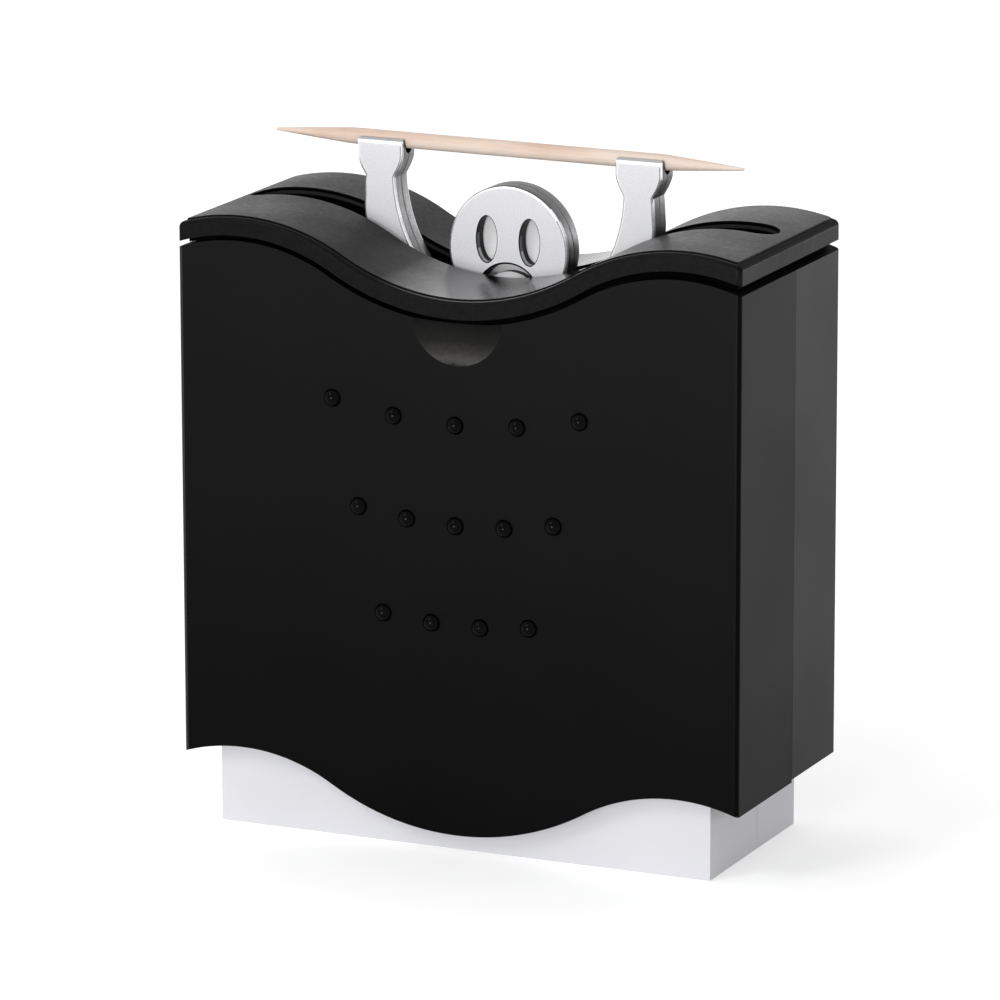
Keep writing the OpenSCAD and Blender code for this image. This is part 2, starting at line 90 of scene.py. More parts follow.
# The screws through the rear shell, and the radius of every screw's hole.
SHELL_SCREW_X, SHELL_SCREW_Z, RECESS_R, BORE_R = W / 2 - 4.7, 54.5, 2.1, 1.06
# The wave edge: a crest's distance from the middle, its height, and the radii of valley and crest.
CREST_X, RISE, VALLEY_R = 30.55, 8.33, 34.9
CREST_R = (CREST_X ** 2 + RISE ** 2) / (2 * RISE) - VALLEY_R
# The lid at the valley, and its slot.
LID_LOW, LID_T = SHELL_HIGH + 0.65, 2.35
LID_HIGH = LID_LOW + LID_T
SLOT_L, SLOT_W, SLOT_X = 73.2, 5.0, -0.4
# Of this scene alone: the lid's raised panel, and how much higher the lid's right end stands.
PANEL, LID_RISE = 0.2, 0.57
# The figure. HAND_LIP, the top of the hands' rounded front edge, is of this scene alone.
FIG_Y, FIG_T = 1.8, 4.0
HAND_X, HAND_TOP, HEAD_R, HEAD_Z = 18.1, 88.6, 8.35, 76.0
HAND_LIP = 89.15
EYE_X, EYE_Z = 3, HEAD_Z + 1.2
# The base: width, front and rear face, height, wall and seam.
BASE_W, BASE_F, BASE_R, BASE_H, BASE_WALL, BASE_SEAM = 69.0, -14.7, 13.6, 48.0, 2.0, 1.0
# The studs: radius, height, and rows of (height at the middle, places); a row rises by x * x / BOW.
STUD_R, STUD_H, BOW = 1.2, 0.9, 144
ROWS = ((56.4, (-17.2, -8.6, 0, 8.6, 17.2)), (43.3, (-13.6, -6.8, 0, 6.8, 13.6)),
        (30.2, (-10.2, -3.4, 3.4, 10.2)))
# A toothpick, half a millimetre longer and a little thicker than in the CAD: length, radius, point.
PICK_L, PICK_R, POINT, TIP_R = 65.5, 1.07, 11.0, 0.17
# The hopper: the trough's floor and its two sides, and how far its slopes reach from the middle.
TROUGH_Z, TROUGH_A, TROUGH_B, HOP_Y = 60.0, -0.5, 4.1, 14.85
# The return springs: place, mean radius, radius of the wire, turns, lower and upper end.
SPRING_X, SPRING_R, WIRE_R, SPRING_TURNS = 26.5, 3.1, 0.45, 13
SPRING_LOW, SPRING_HIGH = 3.1, TROUGH_Z - 3.4


def wave(x, grow=0.0):
    """Height above the valley of the wave edge, or of the curve that stands off it by grow."""
    x = abs(x)
    if x < (VALLEY_R - grow) * CREST_X / (VALLEY_R + CREST_R):
        return VALLEY_R - math.sqrt((VALLEY_R - grow) ** 2 - x * x)
    return RISE - CREST_R + math.sqrt(max(0.0, (CREST_R + grow) ** 2 - (x - CREST_X) ** 2))


# ---------- mesh helpers ----------

def new_object(name, bm, material, smooth_angle=35):
    """A mesh object in metres from a bmesh drawn in millimetres."""
    bmesh.ops.transform(bm, matrix=Matrix.Scale(MM, 4), verts=bm.verts)
    bmesh.ops.recalc_face_normals(bm, faces=bm.faces)
    me = bpy.data.meshes.new(name)
    bm.to_mesh(me)
    bm.free()
    ob = bpy.data.objects.new(name, me)
    bpy.context.scene.collection.objects.link(ob)
    me.materials.append(material)
    shade(me, smooth_angle)
    return ob


def shade(me, angle):
    """Smooth shading, with an edge kept sharp where its faces turn by more than the angle."""
    me.polygons.foreach_set("use_smooth", [True] * len(me.polygons))
    bm = bmesh.new()
    bm.from_mesh(me)
    lim = math.radians(angle)
    for e in bm.edges:
        e.smooth = not (len(e.link_faces) == 2 and e.calc_face_angle(0) > lim)
    bm.to_mesh(me)
    bm.free()
    me.update()


def baked(ob, cutters=()):
    """Applies the object's modifiers to its mesh and removes the cutters."""
    bpy.context.view_layer.update()
    deps = bpy.context.evaluated_depsgraph_get()
    me = bpy.data.meshes.new_from_object(ob.evaluated_get(deps))
    me.name = ob.name
    ob.modifiers.clear()
    ob.data = me
    for c in cutters:
        bpy.data.objects.remove(c)
    return ob


def cut(ob, cutters, operation="DIFFERENCE"):
    """Subtracts the cutters from the object, or adds them to it."""
    for i, c in enumerate(cutters):
        m = ob.modifiers.new("cut%d" % i, "BOOLEAN")
        m.operation = operation
        m.solver = "EXACT"
        m.object = c
    return baked(ob, cutters)


def even_normals(ob):
    """Keeps flat faces flat where they meet rounded edges."""
    m = ob.modifiers.new("even", "WEIGHTED_NORMAL")
    m.mode = "FACE_AREA"
    m.weight = 50
    m.keep_sharp = True
    return baked(ob)


# Where a corner turns back more sharply than this, grown() doesn't lengthen it.
MITRE_LIMIT = 0.3


def prism(bm, outline, z0, z1, top_out=()):
    """A closed prism on an outline of (x, y); top_out adds rings of (growth, z) above."""
    levels = [(0.0, z0), (0.0, z1)] + list(top_out)
    rings = []
    for grow, z in levels:
        pts = grown(outline, grow) if grow else outline
        rings.append([bm.verts.new((p[0], p[1], z)) for p in pts])
    n = len(outline)
    for a, b in zip(rings, rings[1:]):
        for i in range(n):
            bm.faces.new((a[i], a[(i + 1) % n], b[(i + 1) % n], b[i]))
    bm.faces.new(list(reversed(rings[0])))
    bm.faces.new(rings[-1])


def grown(outline, d):
    """The anticlockwise outline moved outwards by d along its corner normals."""
    n = len(outline)
    out = []
    for i in range(n):
        (x0, y0), (x1, y1), (x2, y2) = outline[i - 1], outline[i], outline[(i + 1) % n]
        a = Vector((x1 - x0, y1 - y0)).normalized()
        b = Vector((x2 - x1, y2 - y1)).normalized()
        na, nb = Vector((a.y, -a.x)), Vector((b.y, -b.x))
        m = na + nb
        k = m.dot(na)
        if k < MITRE_LIMIT:
            m, k = na, 1.0
        out.append((x1 + m.x * d / k, y1 + m.y * d / k))
    return out


def arc(cx, cy, r, a0, a1, n):
    """Points on an arc from angle a0 to a1, in degrees, in n steps."""
    return [(cx + r * math.cos(math.radians(a0 + (a1 - a0) * i / n)),
             cy + r * math.sin(math.radians(a0 + (a1 - a0) * i / n))) for i in range(n + 1)]


def slice_x(bm, step=0.75):
    """Cuts the mesh across X, so that it can follow the wave."""
    n = int((W / 2 + 0.2) / step)
    # The small shift keeps the cuts off points that the mesh already has.
    shift = 0.013
    for i in range(-n, n + 1):
        bmesh.ops.bisect_plane(bm, geom=bm.verts[:] + bm.edges[:] + bm.faces[:], dist=1e-5,
                               plane_co=(i * step + shift, 0, 0), plane_no=(1, 0, 0))


def within(x):
    return max(-W / 2, min(W / 2, x))


def to_wave(bm):
    """Raises every point by the wave's height at its place."""
    for v in bm.verts:
        v.co.z += wave(within(v.co.x))


def to_even_wave(bm, rise=0.0):
    """As to_wave, but a slab keeps its thickness square to the wave; rise lifts its right end."""
    start = -5
    for v in bm.verts:
        v.co.z = SHELL_HIGH + wave(within(v.co.x), v.co.z - SHELL_HIGH)
        v.co.z += rise * max(0.0, (v.co.x - start) / (W / 2 - start)) ** 1.5


def in_millimetres(ob):
    """The object's mesh as a bmesh in millimetres."""
    bm = bmesh.new()
    bm.from_mesh(ob.data)
    bmesh.ops.transform(bm, matrix=Matrix.Scale(1 / MM, 4), verts=bm.verts)
    return bm


def round_edges(bm, choose, width, segments=3):
    """Bevels the chosen edges between two faces."""
    edges = [e for e in bm.edges if len(e.link_faces) == 2 and choose(e)]
    bmesh.ops.bevel(bm, geom=edges, offset=width, segments=segments, profile=0.5, affect="EDGES",
                    clamp_overlap=True)


def sharp(e):
    return e.calc_face_angle(0) > math.radians(50)


def paint(ob, choose, index):
    """Gives another of its materials to the faces chosen by centre, in millimetres, and normal."""
    for f in ob.data.polygons:
        if choose(f.center / MM, f.normal):
            f.material_index = index


def join(ob, bm_extra):
    """Adds closed solids, drawn in millimetres, to the object's mesh."""
    bmesh.ops.transform(bm_extra, matrix=Matrix.Scale(MM, 4), verts=bm_extra.verts)
    bmesh.ops.recalc_face_normals(bm_extra, faces=bm_extra.faces)
    tmp = bpy.data.meshes.new("tmp")
    bm_extra.to_mesh(tmp)
    bm_extra.free()
    bm = bmesh.new()
    bm.from_mesh(ob.data)
    bm.from_mesh(tmp)
    bm.to_mesh(ob.data)
    bm.free()
    bpy.data.meshes.remove(tmp)
    shade(ob.data, 30)


def more_materials(ob, keys):
    """Adds material slots to the object, from slot 1 on."""
    for key in keys:
        ob.data.materials.append(MAT[key])


# ---------- materials ----------

# How deep the plastics' grain is, in metres.
GRAIN = 0.00006


def grey(level):
    return (level, level, level)


def material(name):
    """A new material, its nodes, its links and its shader."""
    m = bpy.data.materials.new(name)
    m.use_nodes = True
    return m, m.node_tree.nodes, m.node_tree.links, m.node_tree.nodes["Principled BSDF"]


def coords(nt, ln, scale=(1, 1, 1)):
    """Object coordinates, in metres."""
    tc = nt.new("ShaderNodeTexCoord")
    mp = nt.new("ShaderNodeMapping")
    mp.inputs["Scale"].default_value = scale
    ln.new(tc.outputs["Object"], mp.inputs["Vector"])
    return mp.outputs["Vector"]


def noise(nt, ln, vec, scale, detail=4.0, rough=0.55):
    n = nt.new("ShaderNodeTexNoise")
    n.inputs["Scale"].default_value = scale
    n.inputs["Detail"].default_value = detail
    n.inputs["Roughness"].default_value = rough
    ln.new(vec, n.inputs["Vector"])
    return n.outputs["Fac"]


def spread(nt, ln, fac, lo, hi, a=0.3, b=0.7):
    """Maps fac from the range a to b onto the range lo to hi."""
    r = nt.new("ShaderNodeMapRange")
    r.inputs["From Min"].default_value = a
    r.inputs["From Max"].default_value = b
    r.inputs["To Min"].default_value = lo
    r.inputs["To Max"].default_value = hi
    ln.new(fac, r.inputs["Value"])
    return r.outputs["Result"]


def ramp(nt, ln, fac, stops):
    """A colour for fac, from stops of (position, colour)."""
    r = nt.new("ShaderNodeValToRGB")
    els = r.color_ramp.elements
    while len(els) < len(stops):
        els.new(0.5)
    for e, (p, c) in zip(els, stops):
        e.position = p
        e.color = (*c, 1)
    ln.new(fac, r.inputs["Fac"])
    return r.outputs["Color"]


def bump(nt, ln, shader, height, strength, distance, before=None):
    """Surface detail from height, on top of the detail in before."""
    b = nt.new("ShaderNodeBump")
    b.inputs["Strength"].default_value = strength
    b.inputs["Distance"].default_value = distance
    ln.new(height, b.inputs["Height"])
    if before:
        ln.new(before, b.inputs["Normal"])
    ln.new(b.outputs["Normal"], shader.inputs["Normal"])
    return b.outputs["Normal"]


def multiply_add(nt, ln, value, factor, added):
    """The output value * factor + added, where value and added are outputs and factor is a number."""
    n = nt.new("ShaderNodeMath")
    n.operation = "MULTIPLY_ADD"
    n.inputs[1].default_value = factor
    ln.new(value, n.inputs[0])
    ln.new(added, n.inputs[2])
    return n.outputs[0]


def axis(nt, ln, vec, name):
    """The part of the vector along X, Y or Z."""
    parts = nt.new("ShaderNodeSeparateXYZ")
    ln.new(vec, parts.inputs[0])
    return parts.outputs[name]


def plastic(name, dark, light, rough, grain, strength, specular):
    """Moulded plastic: a faint mottle in colour and roughness, and a fine grain in its surface."""
    m, nt, ln, sh = material(name)
    v = coords(nt, ln)
    soft = noise(nt, ln, v, 55, 3)
    fine = noise(nt, ln, v, grain, 3, 0.6)
    ln.new(ramp(nt, ln, soft, ((0.3, dark), (0.7, light))), sh.inputs["Base Color"])
    ln.new(spread(nt, ln, soft, rough - 0.03, rough + 0.04), sh.inputs["Roughness"])
    sh.inputs["Specular IOR Level"].default_value = specular
    bump(nt, ln, sh, fine, strength, GRAIN)
    return m


def shell_plastic(name, low, high, least, most):
    """Satin black plastic with painted shade: darker and duller low down, paler and shinier towards the top."""
    m, nt, ln, sh = material(name)
    v = coords(nt, ln)
    soft = noise(nt, ln, v, 55, 3)
    fine = noise(nt, ln, v, 2600, 3, 0.6)
    # The colour and the specular level follow the height: painted shade low down, painted light up top.
    height = multiply_add(nt, ln, soft, 0.012, axis(nt, ln, v, "Z"))
    up = spread(nt, ln, height, 0, 1, 0.006, 0.082)
    ln.new(ramp(nt, ln, up, ((0.0, low), (1.0, high))), sh.inputs["Base Color"])
    ln.new(spread(nt, ln, up, least, most, 0, 1), sh.inputs["Specular IOR Level"])
    ln.new(spread(nt, ln, soft, 0.37, 0.44), sh.inputs["Roughness"])
    bump(nt, ln, sh, fine, 0.10, GRAIN)
    return m


def textured_plastic(name, polished):
    """The lid's black plastic, with a leathery grain; where polished, its valley is rubbed smooth."""
    m, nt, ln, sh = material(name)
    v = coords(nt, ln)
    soft = noise(nt, ln, v, 90, 3)
    grain = noise(nt, ln, v, 1500, 5, 0.7)
    pits = noise(nt, ln, v, 3600, 3, 0.6)
    ln.new(ramp(nt, ln, grain, ((0.35, (0.0016, 0.0016, 0.0017)), (0.68, (0.0052, 0.0050, 0.0052)))),
           sh.inputs["Base Color"])
    blotch = multiply_add(nt, ln, grain, 0.6, spread(nt, ln, soft, 0.1, 0.3))
    rough = spread(nt, ln, blotch, 0.28, 0.46, 0.35, 0.65)
    if polished:
        along = spread(nt, ln, axis(nt, ln, v, "X"), 0, 1, -0.02, 0.03)
        rubbed = ramp(nt, ln, along, ((0.18, grey(0)), (0.34, grey(1)), (0.66, grey(1)), (0.8, grey(0.07))))
        rough = multiply_add(nt, ln, rubbed, -0.28, rough)
        ln.new(spread(nt, ln, rubbed, 0.1, 1.0, 0, 1), sh.inputs["Specular IOR Level"])
    else:
        sh.inputs["Specular IOR Level"].default_value = 0.07
    ln.new(rough, sh.inputs["Roughness"])
    first = bump(nt, ln, sh, grain, 0.5, 0.00005)
    bump(nt, ln, sh, pits, 0.4, 0.00003, first)
    return m


def metal_paint(name, tone, rough, streak=0.93, metal=0.92):
    """Silver paint or bare metal: a fine flake, down to streak times the tone, and a faint orange peel."""
    m, nt, ln, sh = material(name)
    v = coords(nt, ln)
    flake = noise(nt, ln, v, 5200, 2, 0.7)
    peel = noise(nt, ln, v, 900, 3, 0.5)
    hi = tuple(min(1.0, c * 1.06) for c in tone)
    lo = tuple(c * streak for c in tone)
    ln.new(ramp(nt, ln, flake, ((0.35, lo), (0.65, hi))), sh.inputs["Base Color"])
    ln.new(spread(nt, ln, peel, rough - 0.04, rough + 0.05), sh.inputs["Roughness"])
    sh.inputs["Metallic"].default_value = metal
    bump(nt, ln, sh, peel, 0.25, 0.00003)
    return m


def wood(name):
    """Pale birch: long fibres along X with faint darker streaks."""
    m, nt, ln, sh = material(name)
    v = coords(nt, ln, (0.035, 1, 1))
    fibre = noise(nt, ln, v, 2600, 5, 0.65)
    streak = noise(nt, ln, coords(nt, ln, (0.12, 1, 1)), 420, 3, 0.5)
    mix = multiply_add(nt, ln, fibre, 0.45, spread(nt, ln, streak, 0.05, 0.5, 0.2, 0.8))
    tones = ((0.2, (0.66, 0.44, 0.33)), (0.5, (0.82, 0.675, 0.575)), (0.8, (0.88, 0.775, 0.70)))
    ln.new(ramp(nt, ln, mix, tones), sh.inputs["Base Color"])
    sh.inputs["Roughness"].default_value = 0.62
    sh.inputs["Specular IOR Level"].default_value = 0.3
    bump(nt, ln, sh, fibre, 0.35, 0.00005)
    return m


def steel(name, tone, rough):
    """Bare metal, faintly uneven in tone and roughness."""
    m, nt, ln, sh = material(name)
    v = coords(nt, ln)
    n = noise(nt, ln, v, 1800, 4)
    ln.new(ramp(nt, ln, n, ((0.3, grey(tone * 0.9)), (0.7, grey(tone * 1.05)))), sh.inputs["Base Color"])
    ln.new(spread(nt, ln, n, rough - 0.05, rough + 0.08), sh.inputs["Roughness"])
    sh.inputs["Metallic"].default_value = 1.0
    return m


def dish_plastic(name):
    """Etched black plastic: painted light low in the thumb dish, where it faces up, and painted shade at its
    top.
    """
    m, nt, ln, sh = material(name)
    v = coords(nt, ln)
    grain = noise(nt, ln, v, 1500, 4, 0.65)
    drift = multiply_add(nt, ln, grain, 0.0016, axis(nt, ln, v, "Z"))
    # From the lower edge of the dish up to the lid.
    height = spread(nt, ln, drift, 0, 1, 0.0649, 0.0704)
    # Paler low in the dish, painted light; darker towards the lid, painted shade.
    tones = ((0.0, (0.015, 0.015, 0.014)), (0.06, (0.05, 0.049, 0.047)), (0.14, (0.064, 0.063, 0.061)),
             (0.3, (0.034, 0.033, 0.032)), (0.55, (0.012, 0.012, 0.011)), (1.0, (0.003, 0.003, 0.003)))
    ln.new(ramp(nt, ln, height, tones), sh.inputs["Base Color"])
    sh.inputs["Roughness"].default_value = 0.6
    sh.inputs["Specular IOR Level"].default_value = 0.06
    bump(nt, ln, sh, grain, 0.8, GRAIN)
    return m


# A shell plastic has its lowest and highest tone and specular level; a plastic has its darkest and
# lightest tone, roughness, scale and strength of its grain, and specular level.
MAT = {
    "shell": shell_plastic("satin_black_shell_painted_shade", (0.0003, 0.0003, 0.0004), grey(0.0042), 0.045, 0.064),
    # The rear shell's plastic is a paler, shinier copy of the front shell's: painted light.
    "rear": shell_plastic("satin_black_rear_shell_painted_light", (0.006, 0.0057, 0.006), (0.011, 0.0105, 0.011),
                          0.078, 0.105),
    # A paler copy of the black plastic: painted highlight on the front rim, the left front corner and the slot
    # band.
    "rim": plastic("black_rim_painted_highlight", grey(0.026), grey(0.04), 0.45, 2600, 0.10, 0.05),
    # A darker, duller copy: painted shade on the shells' rims under the lid and on the right front corner.
    "corner": plastic("black_corner_painted_shade", grey(0.0030), grey(0.0042), 0.5, 2600, 0.05, 0.01),
    # A much paler copy: painted highlight along the rear shell's edge at the seam.
    "seam": plastic("black_seam_painted_highlight", (0.055, 0.053, 0.055), (0.075, 0.072, 0.075),
                    0.5, 2600, 0.10, 0.05),
    "dish": dish_plastic("etched_black_dish_painted_light"),
    "lid": textured_plastic("textured_black_lid", False),
    "lid_top": textured_plastic("textured_black_lid_top", True),
    # A duller copy of the lid's plastic: painted shade on the rounded edge of the lid's right end.
    "lid_edge": plastic("dull_lid_edge_painted_shade", (0.0035, 0.0035, 0.0036), grey(0.006), 0.55, 1500, 0.3, 0.03),
    # A darker copy of the black plastic: painted shade on the slot's walls and on the rib under the lid.
    "dark": plastic("matte_black_inside_painted_shade", grey(0.0006), grey(0.0012), 0.7, 2500, 0.1, 0.01),
    "hopper": plastic("matte_black_hopper", grey(0.0025), grey(0.004), 0.6, 2500, 0.15, 0.03),
    "gloss": plastic("gloss_black_studs", grey(0.0002), grey(0.0004), 0.17, 1500, 0.02, 0.06),
    "pale": plastic("pale_grey_plastic", (0.70, 0.70, 0.735), (0.74, 0.74, 0.775), 0.42, 2600, 0.08, 0.3),
    "post": plastic("grey_post_plastic", (0.50, 0.50, 0.52), (0.56, 0.56, 0.58), 0.5, 2200, 0.1, 0.4),
    "silver": metal_paint("silver_figure_paint", (0.76, 0.76, 0.785), 0.58, 0.93, 0.1),
    # A paler silver: painted light where the rear plate shows through the eyes and mouth, and on the mouth's
    # lower side.
    "inner": metal_paint("inner_silver_painted_light", (0.92, 0.92, 0.935), 0.45, 0.96, 0.05),
    "recess": metal_paint("shadowed_silver_paint", grey(0.012), 0.5),
    # A grey copy of the silver: painted shade atop the hands' rounded front edge, painted light on the eyes'
    # lower walls.
    "lip": metal_paint("grey_silver_painted_shade_and_light", (0.46, 0.46, 0.465), 0.4, 0.9),
    # Darker copies of the silver: painted shade on the plates' edges, grooves and eye walls; the rear one
    # paler.
    "wall": metal_paint("cut_plate_edge", (0.15, 0.15, 0.155), 0.4, 0.6),
    "rear_wall": metal_paint("cut_rear_plate_edge", (0.21, 0.21, 0.215), 0.4, 0.6),
    # A paler silver: painted highlight on the plates' rounded edges and on the hands' front edge.
    "bright": metal_paint("plate_edge_painted_highlight", (0.93, 0.93, 0.94), 0.3),
    "wood": wood("birch_toothpick"),
    "steel": steel("plated_screw_steel", 0.42, 0.3),
    "spring": steel("spring_wire_steel", 0.58, 0.22),
}

# Numbers of the material slots. Those of an object and of what cuts it are in the same order.
SHELL_MORE = ("dish", "rim", "corner", "seam")
DISH, RIM_HIGHLIGHT, SHADED_EDGE, SEAM_HIGHLIGHT = 1, 2, 3, 4
LID_MORE = ("dark", "lid_top", "lid_edge", "rim")
SHADED_INSIDE, LID_TOP, SHADED_LID_EDGE, SLOT_HIGHLIGHT = 1, 2, 3, 4
FIGURE_MORE = ("recess", "wall", "bright", "lip", "inner")
FACE, RECESS, SHADED_WALL, EDGE_HIGHLIGHT, LIP, LIT_INNER = 0, 1, 2, 3, 4, 5

# ---------- housing: the two shells ----------


def shell_outline(front):
    """Plan of half the housing's wall, as a closed anticlockwise outline."""
    hw, hd, c = W / 2, D / 2, CORNER
    iw, idp, ic = hw - WALL, hd - WALL, 0.5
    if front:
        # The outer skin stops short of the seam, which leaves a fine groove.
        groove, depth = 0.07, 0.7
        edge, gw = SEAM - groove, hw - depth
        out = [(-hw, edge)] + arc(-hw + c, -hd + c, c, 180, 270, 6) + arc(hw - c, -hd + c, c, 270, 360, 6)
        out += [(hw, edge), (gw, edge), (gw, SEAM), (iw, SEAM)]
        out += arc(iw - ic, -idp + ic, ic, 0, -90, 4) + arc(-iw + ic, -idp + ic, ic, -90, -180, 4)
        out += [(-iw, SEAM), (-gw, SEAM), (-gw, edge)]
    else:
        out = [(hw, SEAM)] + arc(hw - c, hd - c, c, 0, 90, 6) + arc(-hw + c, hd - c, c, 90, 180, 6)
        out += [(-hw, SEAM), (-iw, SEAM)] + arc(-iw + ic, idp - ic, ic, 180, 90, 4)
        out += arc(iw - ic, idp - ic, ic, 90, 0, 4) + [(iw, SEAM)]
    return out


def dish_cutter():
    """The ball that hollows the thumb dish out of the front shell."""
    x, z, half_width, depth = 0.3, SHELL_HIGH + 1, 6.3, 1.2
    r = (half_width ** 2 + depth ** 2) / (2 * depth)
    bm = bmesh.new()
    bmesh.ops.create_uvsphere(bm, u_segments=256, v_segments=192, radius=r)
    bmesh.ops.translate(bm, vec=(x, -D / 2 + depth - r, z), verts=bm.verts)
    ob = new_object("dish", bm, MAT["shell"])
    ob.data.materials.append(MAT["dish"])
    ob.data.polygons.foreach_set("material_index", [DISH] * len(ob.data.polygons))
    return ob


def rod_y(name, x, z, r, y0, y1, n=48):
    """A round bar along Y."""
    bm = bmesh.new()
    prism(bm, arc(x, -z, r, 0, 360 - 360 / n, n - 1), 0, 1)
    for v in bm.verts:
        v.co = Vector((v.co.x, y0 if v.co.z < 0.5 else y1, -v.co.y))
    return new_object(name, bm, MAT["shell"])


def make_shell(front):
    bm = bmesh.new()
    prism(bm, shell_outline(front), SHELL_LOW if front else SHELL_LOW + REAR_LIFT, SHELL_HIGH)
    hw, hd = W / 2, D / 2
    near, edge_round = 0.81, 0.28

    def outer(e):
        """An edge on the outer skin: round the rims, along the seam, but not on the inner side."""
        return sharp(e) and all(abs(abs(v.co.x) - hw) < near or abs(abs(v.co.y) - hd) < near for v in e.verts)

    round_edges(bm, outer, edge_round, 3)
    slice_x(bm)
    to_wave(bm)
    name, key = ("front_shell_skin", "shell") if front else ("rear_shell_skin", "rear")
    ob = new_object(name, bm, MAT[key], 40)
    more_materials(ob, SHELL_MORE)
    return ob


def paint_shell(ob, front):
    """Painted shade on the rim and right front corner; painted highlight on the front edges and at the rear
    seam.
    """
    hw, hd = W / 2, D / 2

    def on_rim(c):
        return c.z > SHELL_HIGH + wave(c.x) - 0.5

    paint(ob, lambda c, n: n.z > 0.2 and on_rim(c), SHADED_EDGE)
    if front:
        paint(ob, lambda c, n: 0.25 < n.z < 0.97 and on_rim(c) and c.y < -hd + 0.5, RIM_HIGHLIGHT)
        paint(ob, lambda c, n: c.x > hw - 0.6 and c.y < -hd + 0.3 and 0.2 < n.x < 0.8
              and abs(n.z) < 0.2, SHADED_EDGE)
        paint(ob, lambda c, n: c.x < -hw + 0.6 and c.y < -hd + 0.6 and n.x < -0.1
              and abs(n.z) < 0.2, RIM_HIGHLIGHT)
    else:
        paint(ob, lambda c, n: abs(c.x) > hw - 0.3 and c.y < SEAM + 0.3 and n.y < -0.2
              and abs(n.z) < 0.3, SEAM_HIGHLIGHT)


front = make_shell(True)
paint_shell(front, True)
cut(front, [dish_cutter()])
shade(front.data, 18)
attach(front, "housing")

rear = make_shell(False)
paint_shell(rear, False)
cut(rear, [rod_y("recess%d" % s, s * SHELL_SCREW_X, SHELL_SCREW_Z, RECESS_R, D / 2 - WALL, D / 2 + 1)
           for s in (-1, 1)])
shade(rear.data, 35)
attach(rear, "housing")

# ---------- studs ----------

def make_studs():
    """Low domes, each a cap of a ball, closed at the back."""
    bm = bmesh.new()
    ball = (STUD_R ** 2 + STUD_H ** 2) / (2 * STUD_H)
    half_angle = math.asin(min(1.0, STUD_R / ball))
    n, m = 32, 12
    for row, xs in ROWS:
        for x in xs:
            z = row + x * x / BOW
            rings = []
            for j in range(m, 0, -1):
                a = half_angle * j / m
                rad, h = ball * math.sin(a), ball * math.cos(a) - ball + STUD_H
                rings.append([bm.verts.new((x + rad * math.cos(2 * math.pi * i / n), -D / 2 - max(h, 0.0),
                                            z + rad * math.sin(2 * math.pi * i / n))) for i in range(n)])
            tip = bm.verts.new((x, -D / 2 - STUD_H, z))
            for a, b in zip(rings, rings[1:]):
                for i in range(n):
                    bm.faces.new((a[i], a[(i + 1) % n], b[(i + 1) % n], b[i]))
            for i in range(n):
                bm.faces.new((rings[-1][i], rings[-1][(i + 1) % n], tip))
            bm.faces.new(list(reversed(rings[0])))
    return new_object("front_studs_domes", bm, MAT["gloss"], 60)


studs = make_studs()
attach(studs, "housing")
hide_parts("front_studs")

# ---------- lid ----------


def stadium(length, width, cx, cy, n=16):
    """Anticlockwise slot outline with round ends."""
    r, h = width / 2, (length - width) / 2
    return arc(cx + h, cy, r, -90, 90, n) + arc(cx - h, cy, r, 90, 270, n)


def rounded(hw, hd, c, n=6):
    """Anticlockwise rectangle with rounded corners."""
    return (arc(hw - c, -hd + c, c, -90, 0, n) + arc(hw - c, hd - c, c, 0, 90, n)
            + arc(-hw + c, hd - c, c, 90, 180, n) + arc(-hw + c, -hd + c, c, 180, 270, n))


def slot_cutter(top, rise):
    """The slot through the lid: painted shade, with a band of painted highlight on the wall below its eased
    edge.
    """
    straight, band = 0.85, 0.4
    bm = bmesh.new()
    prism(bm, stadium(SLOT_L, SLOT_W, SLOT_X, FIG_Y), LID_LOW - 2, top - straight,
          [(0.001, top - band), (0.05, top - 0.22), (0.15, top - 0.08), (0.35, top), (0.45, top + 0.6)])
    slice_x(bm, 0.83)
    # The band takes the paler rim plastic, a painted highlight; the rest of the slot's walls are painted shade.
    for f in bm.faces:
        on_band = top - straight + 0.01 < f.calc_center_median().z < top - band - 0.01
        f.material_index = SLOT_HIGHLIGHT if on_band else SHADED_INSIDE
    to_even_wave(bm, rise)
    ob = new_object("slot", bm, MAT["lid"])
    more_materials(ob, LID_MORE)
    return ob


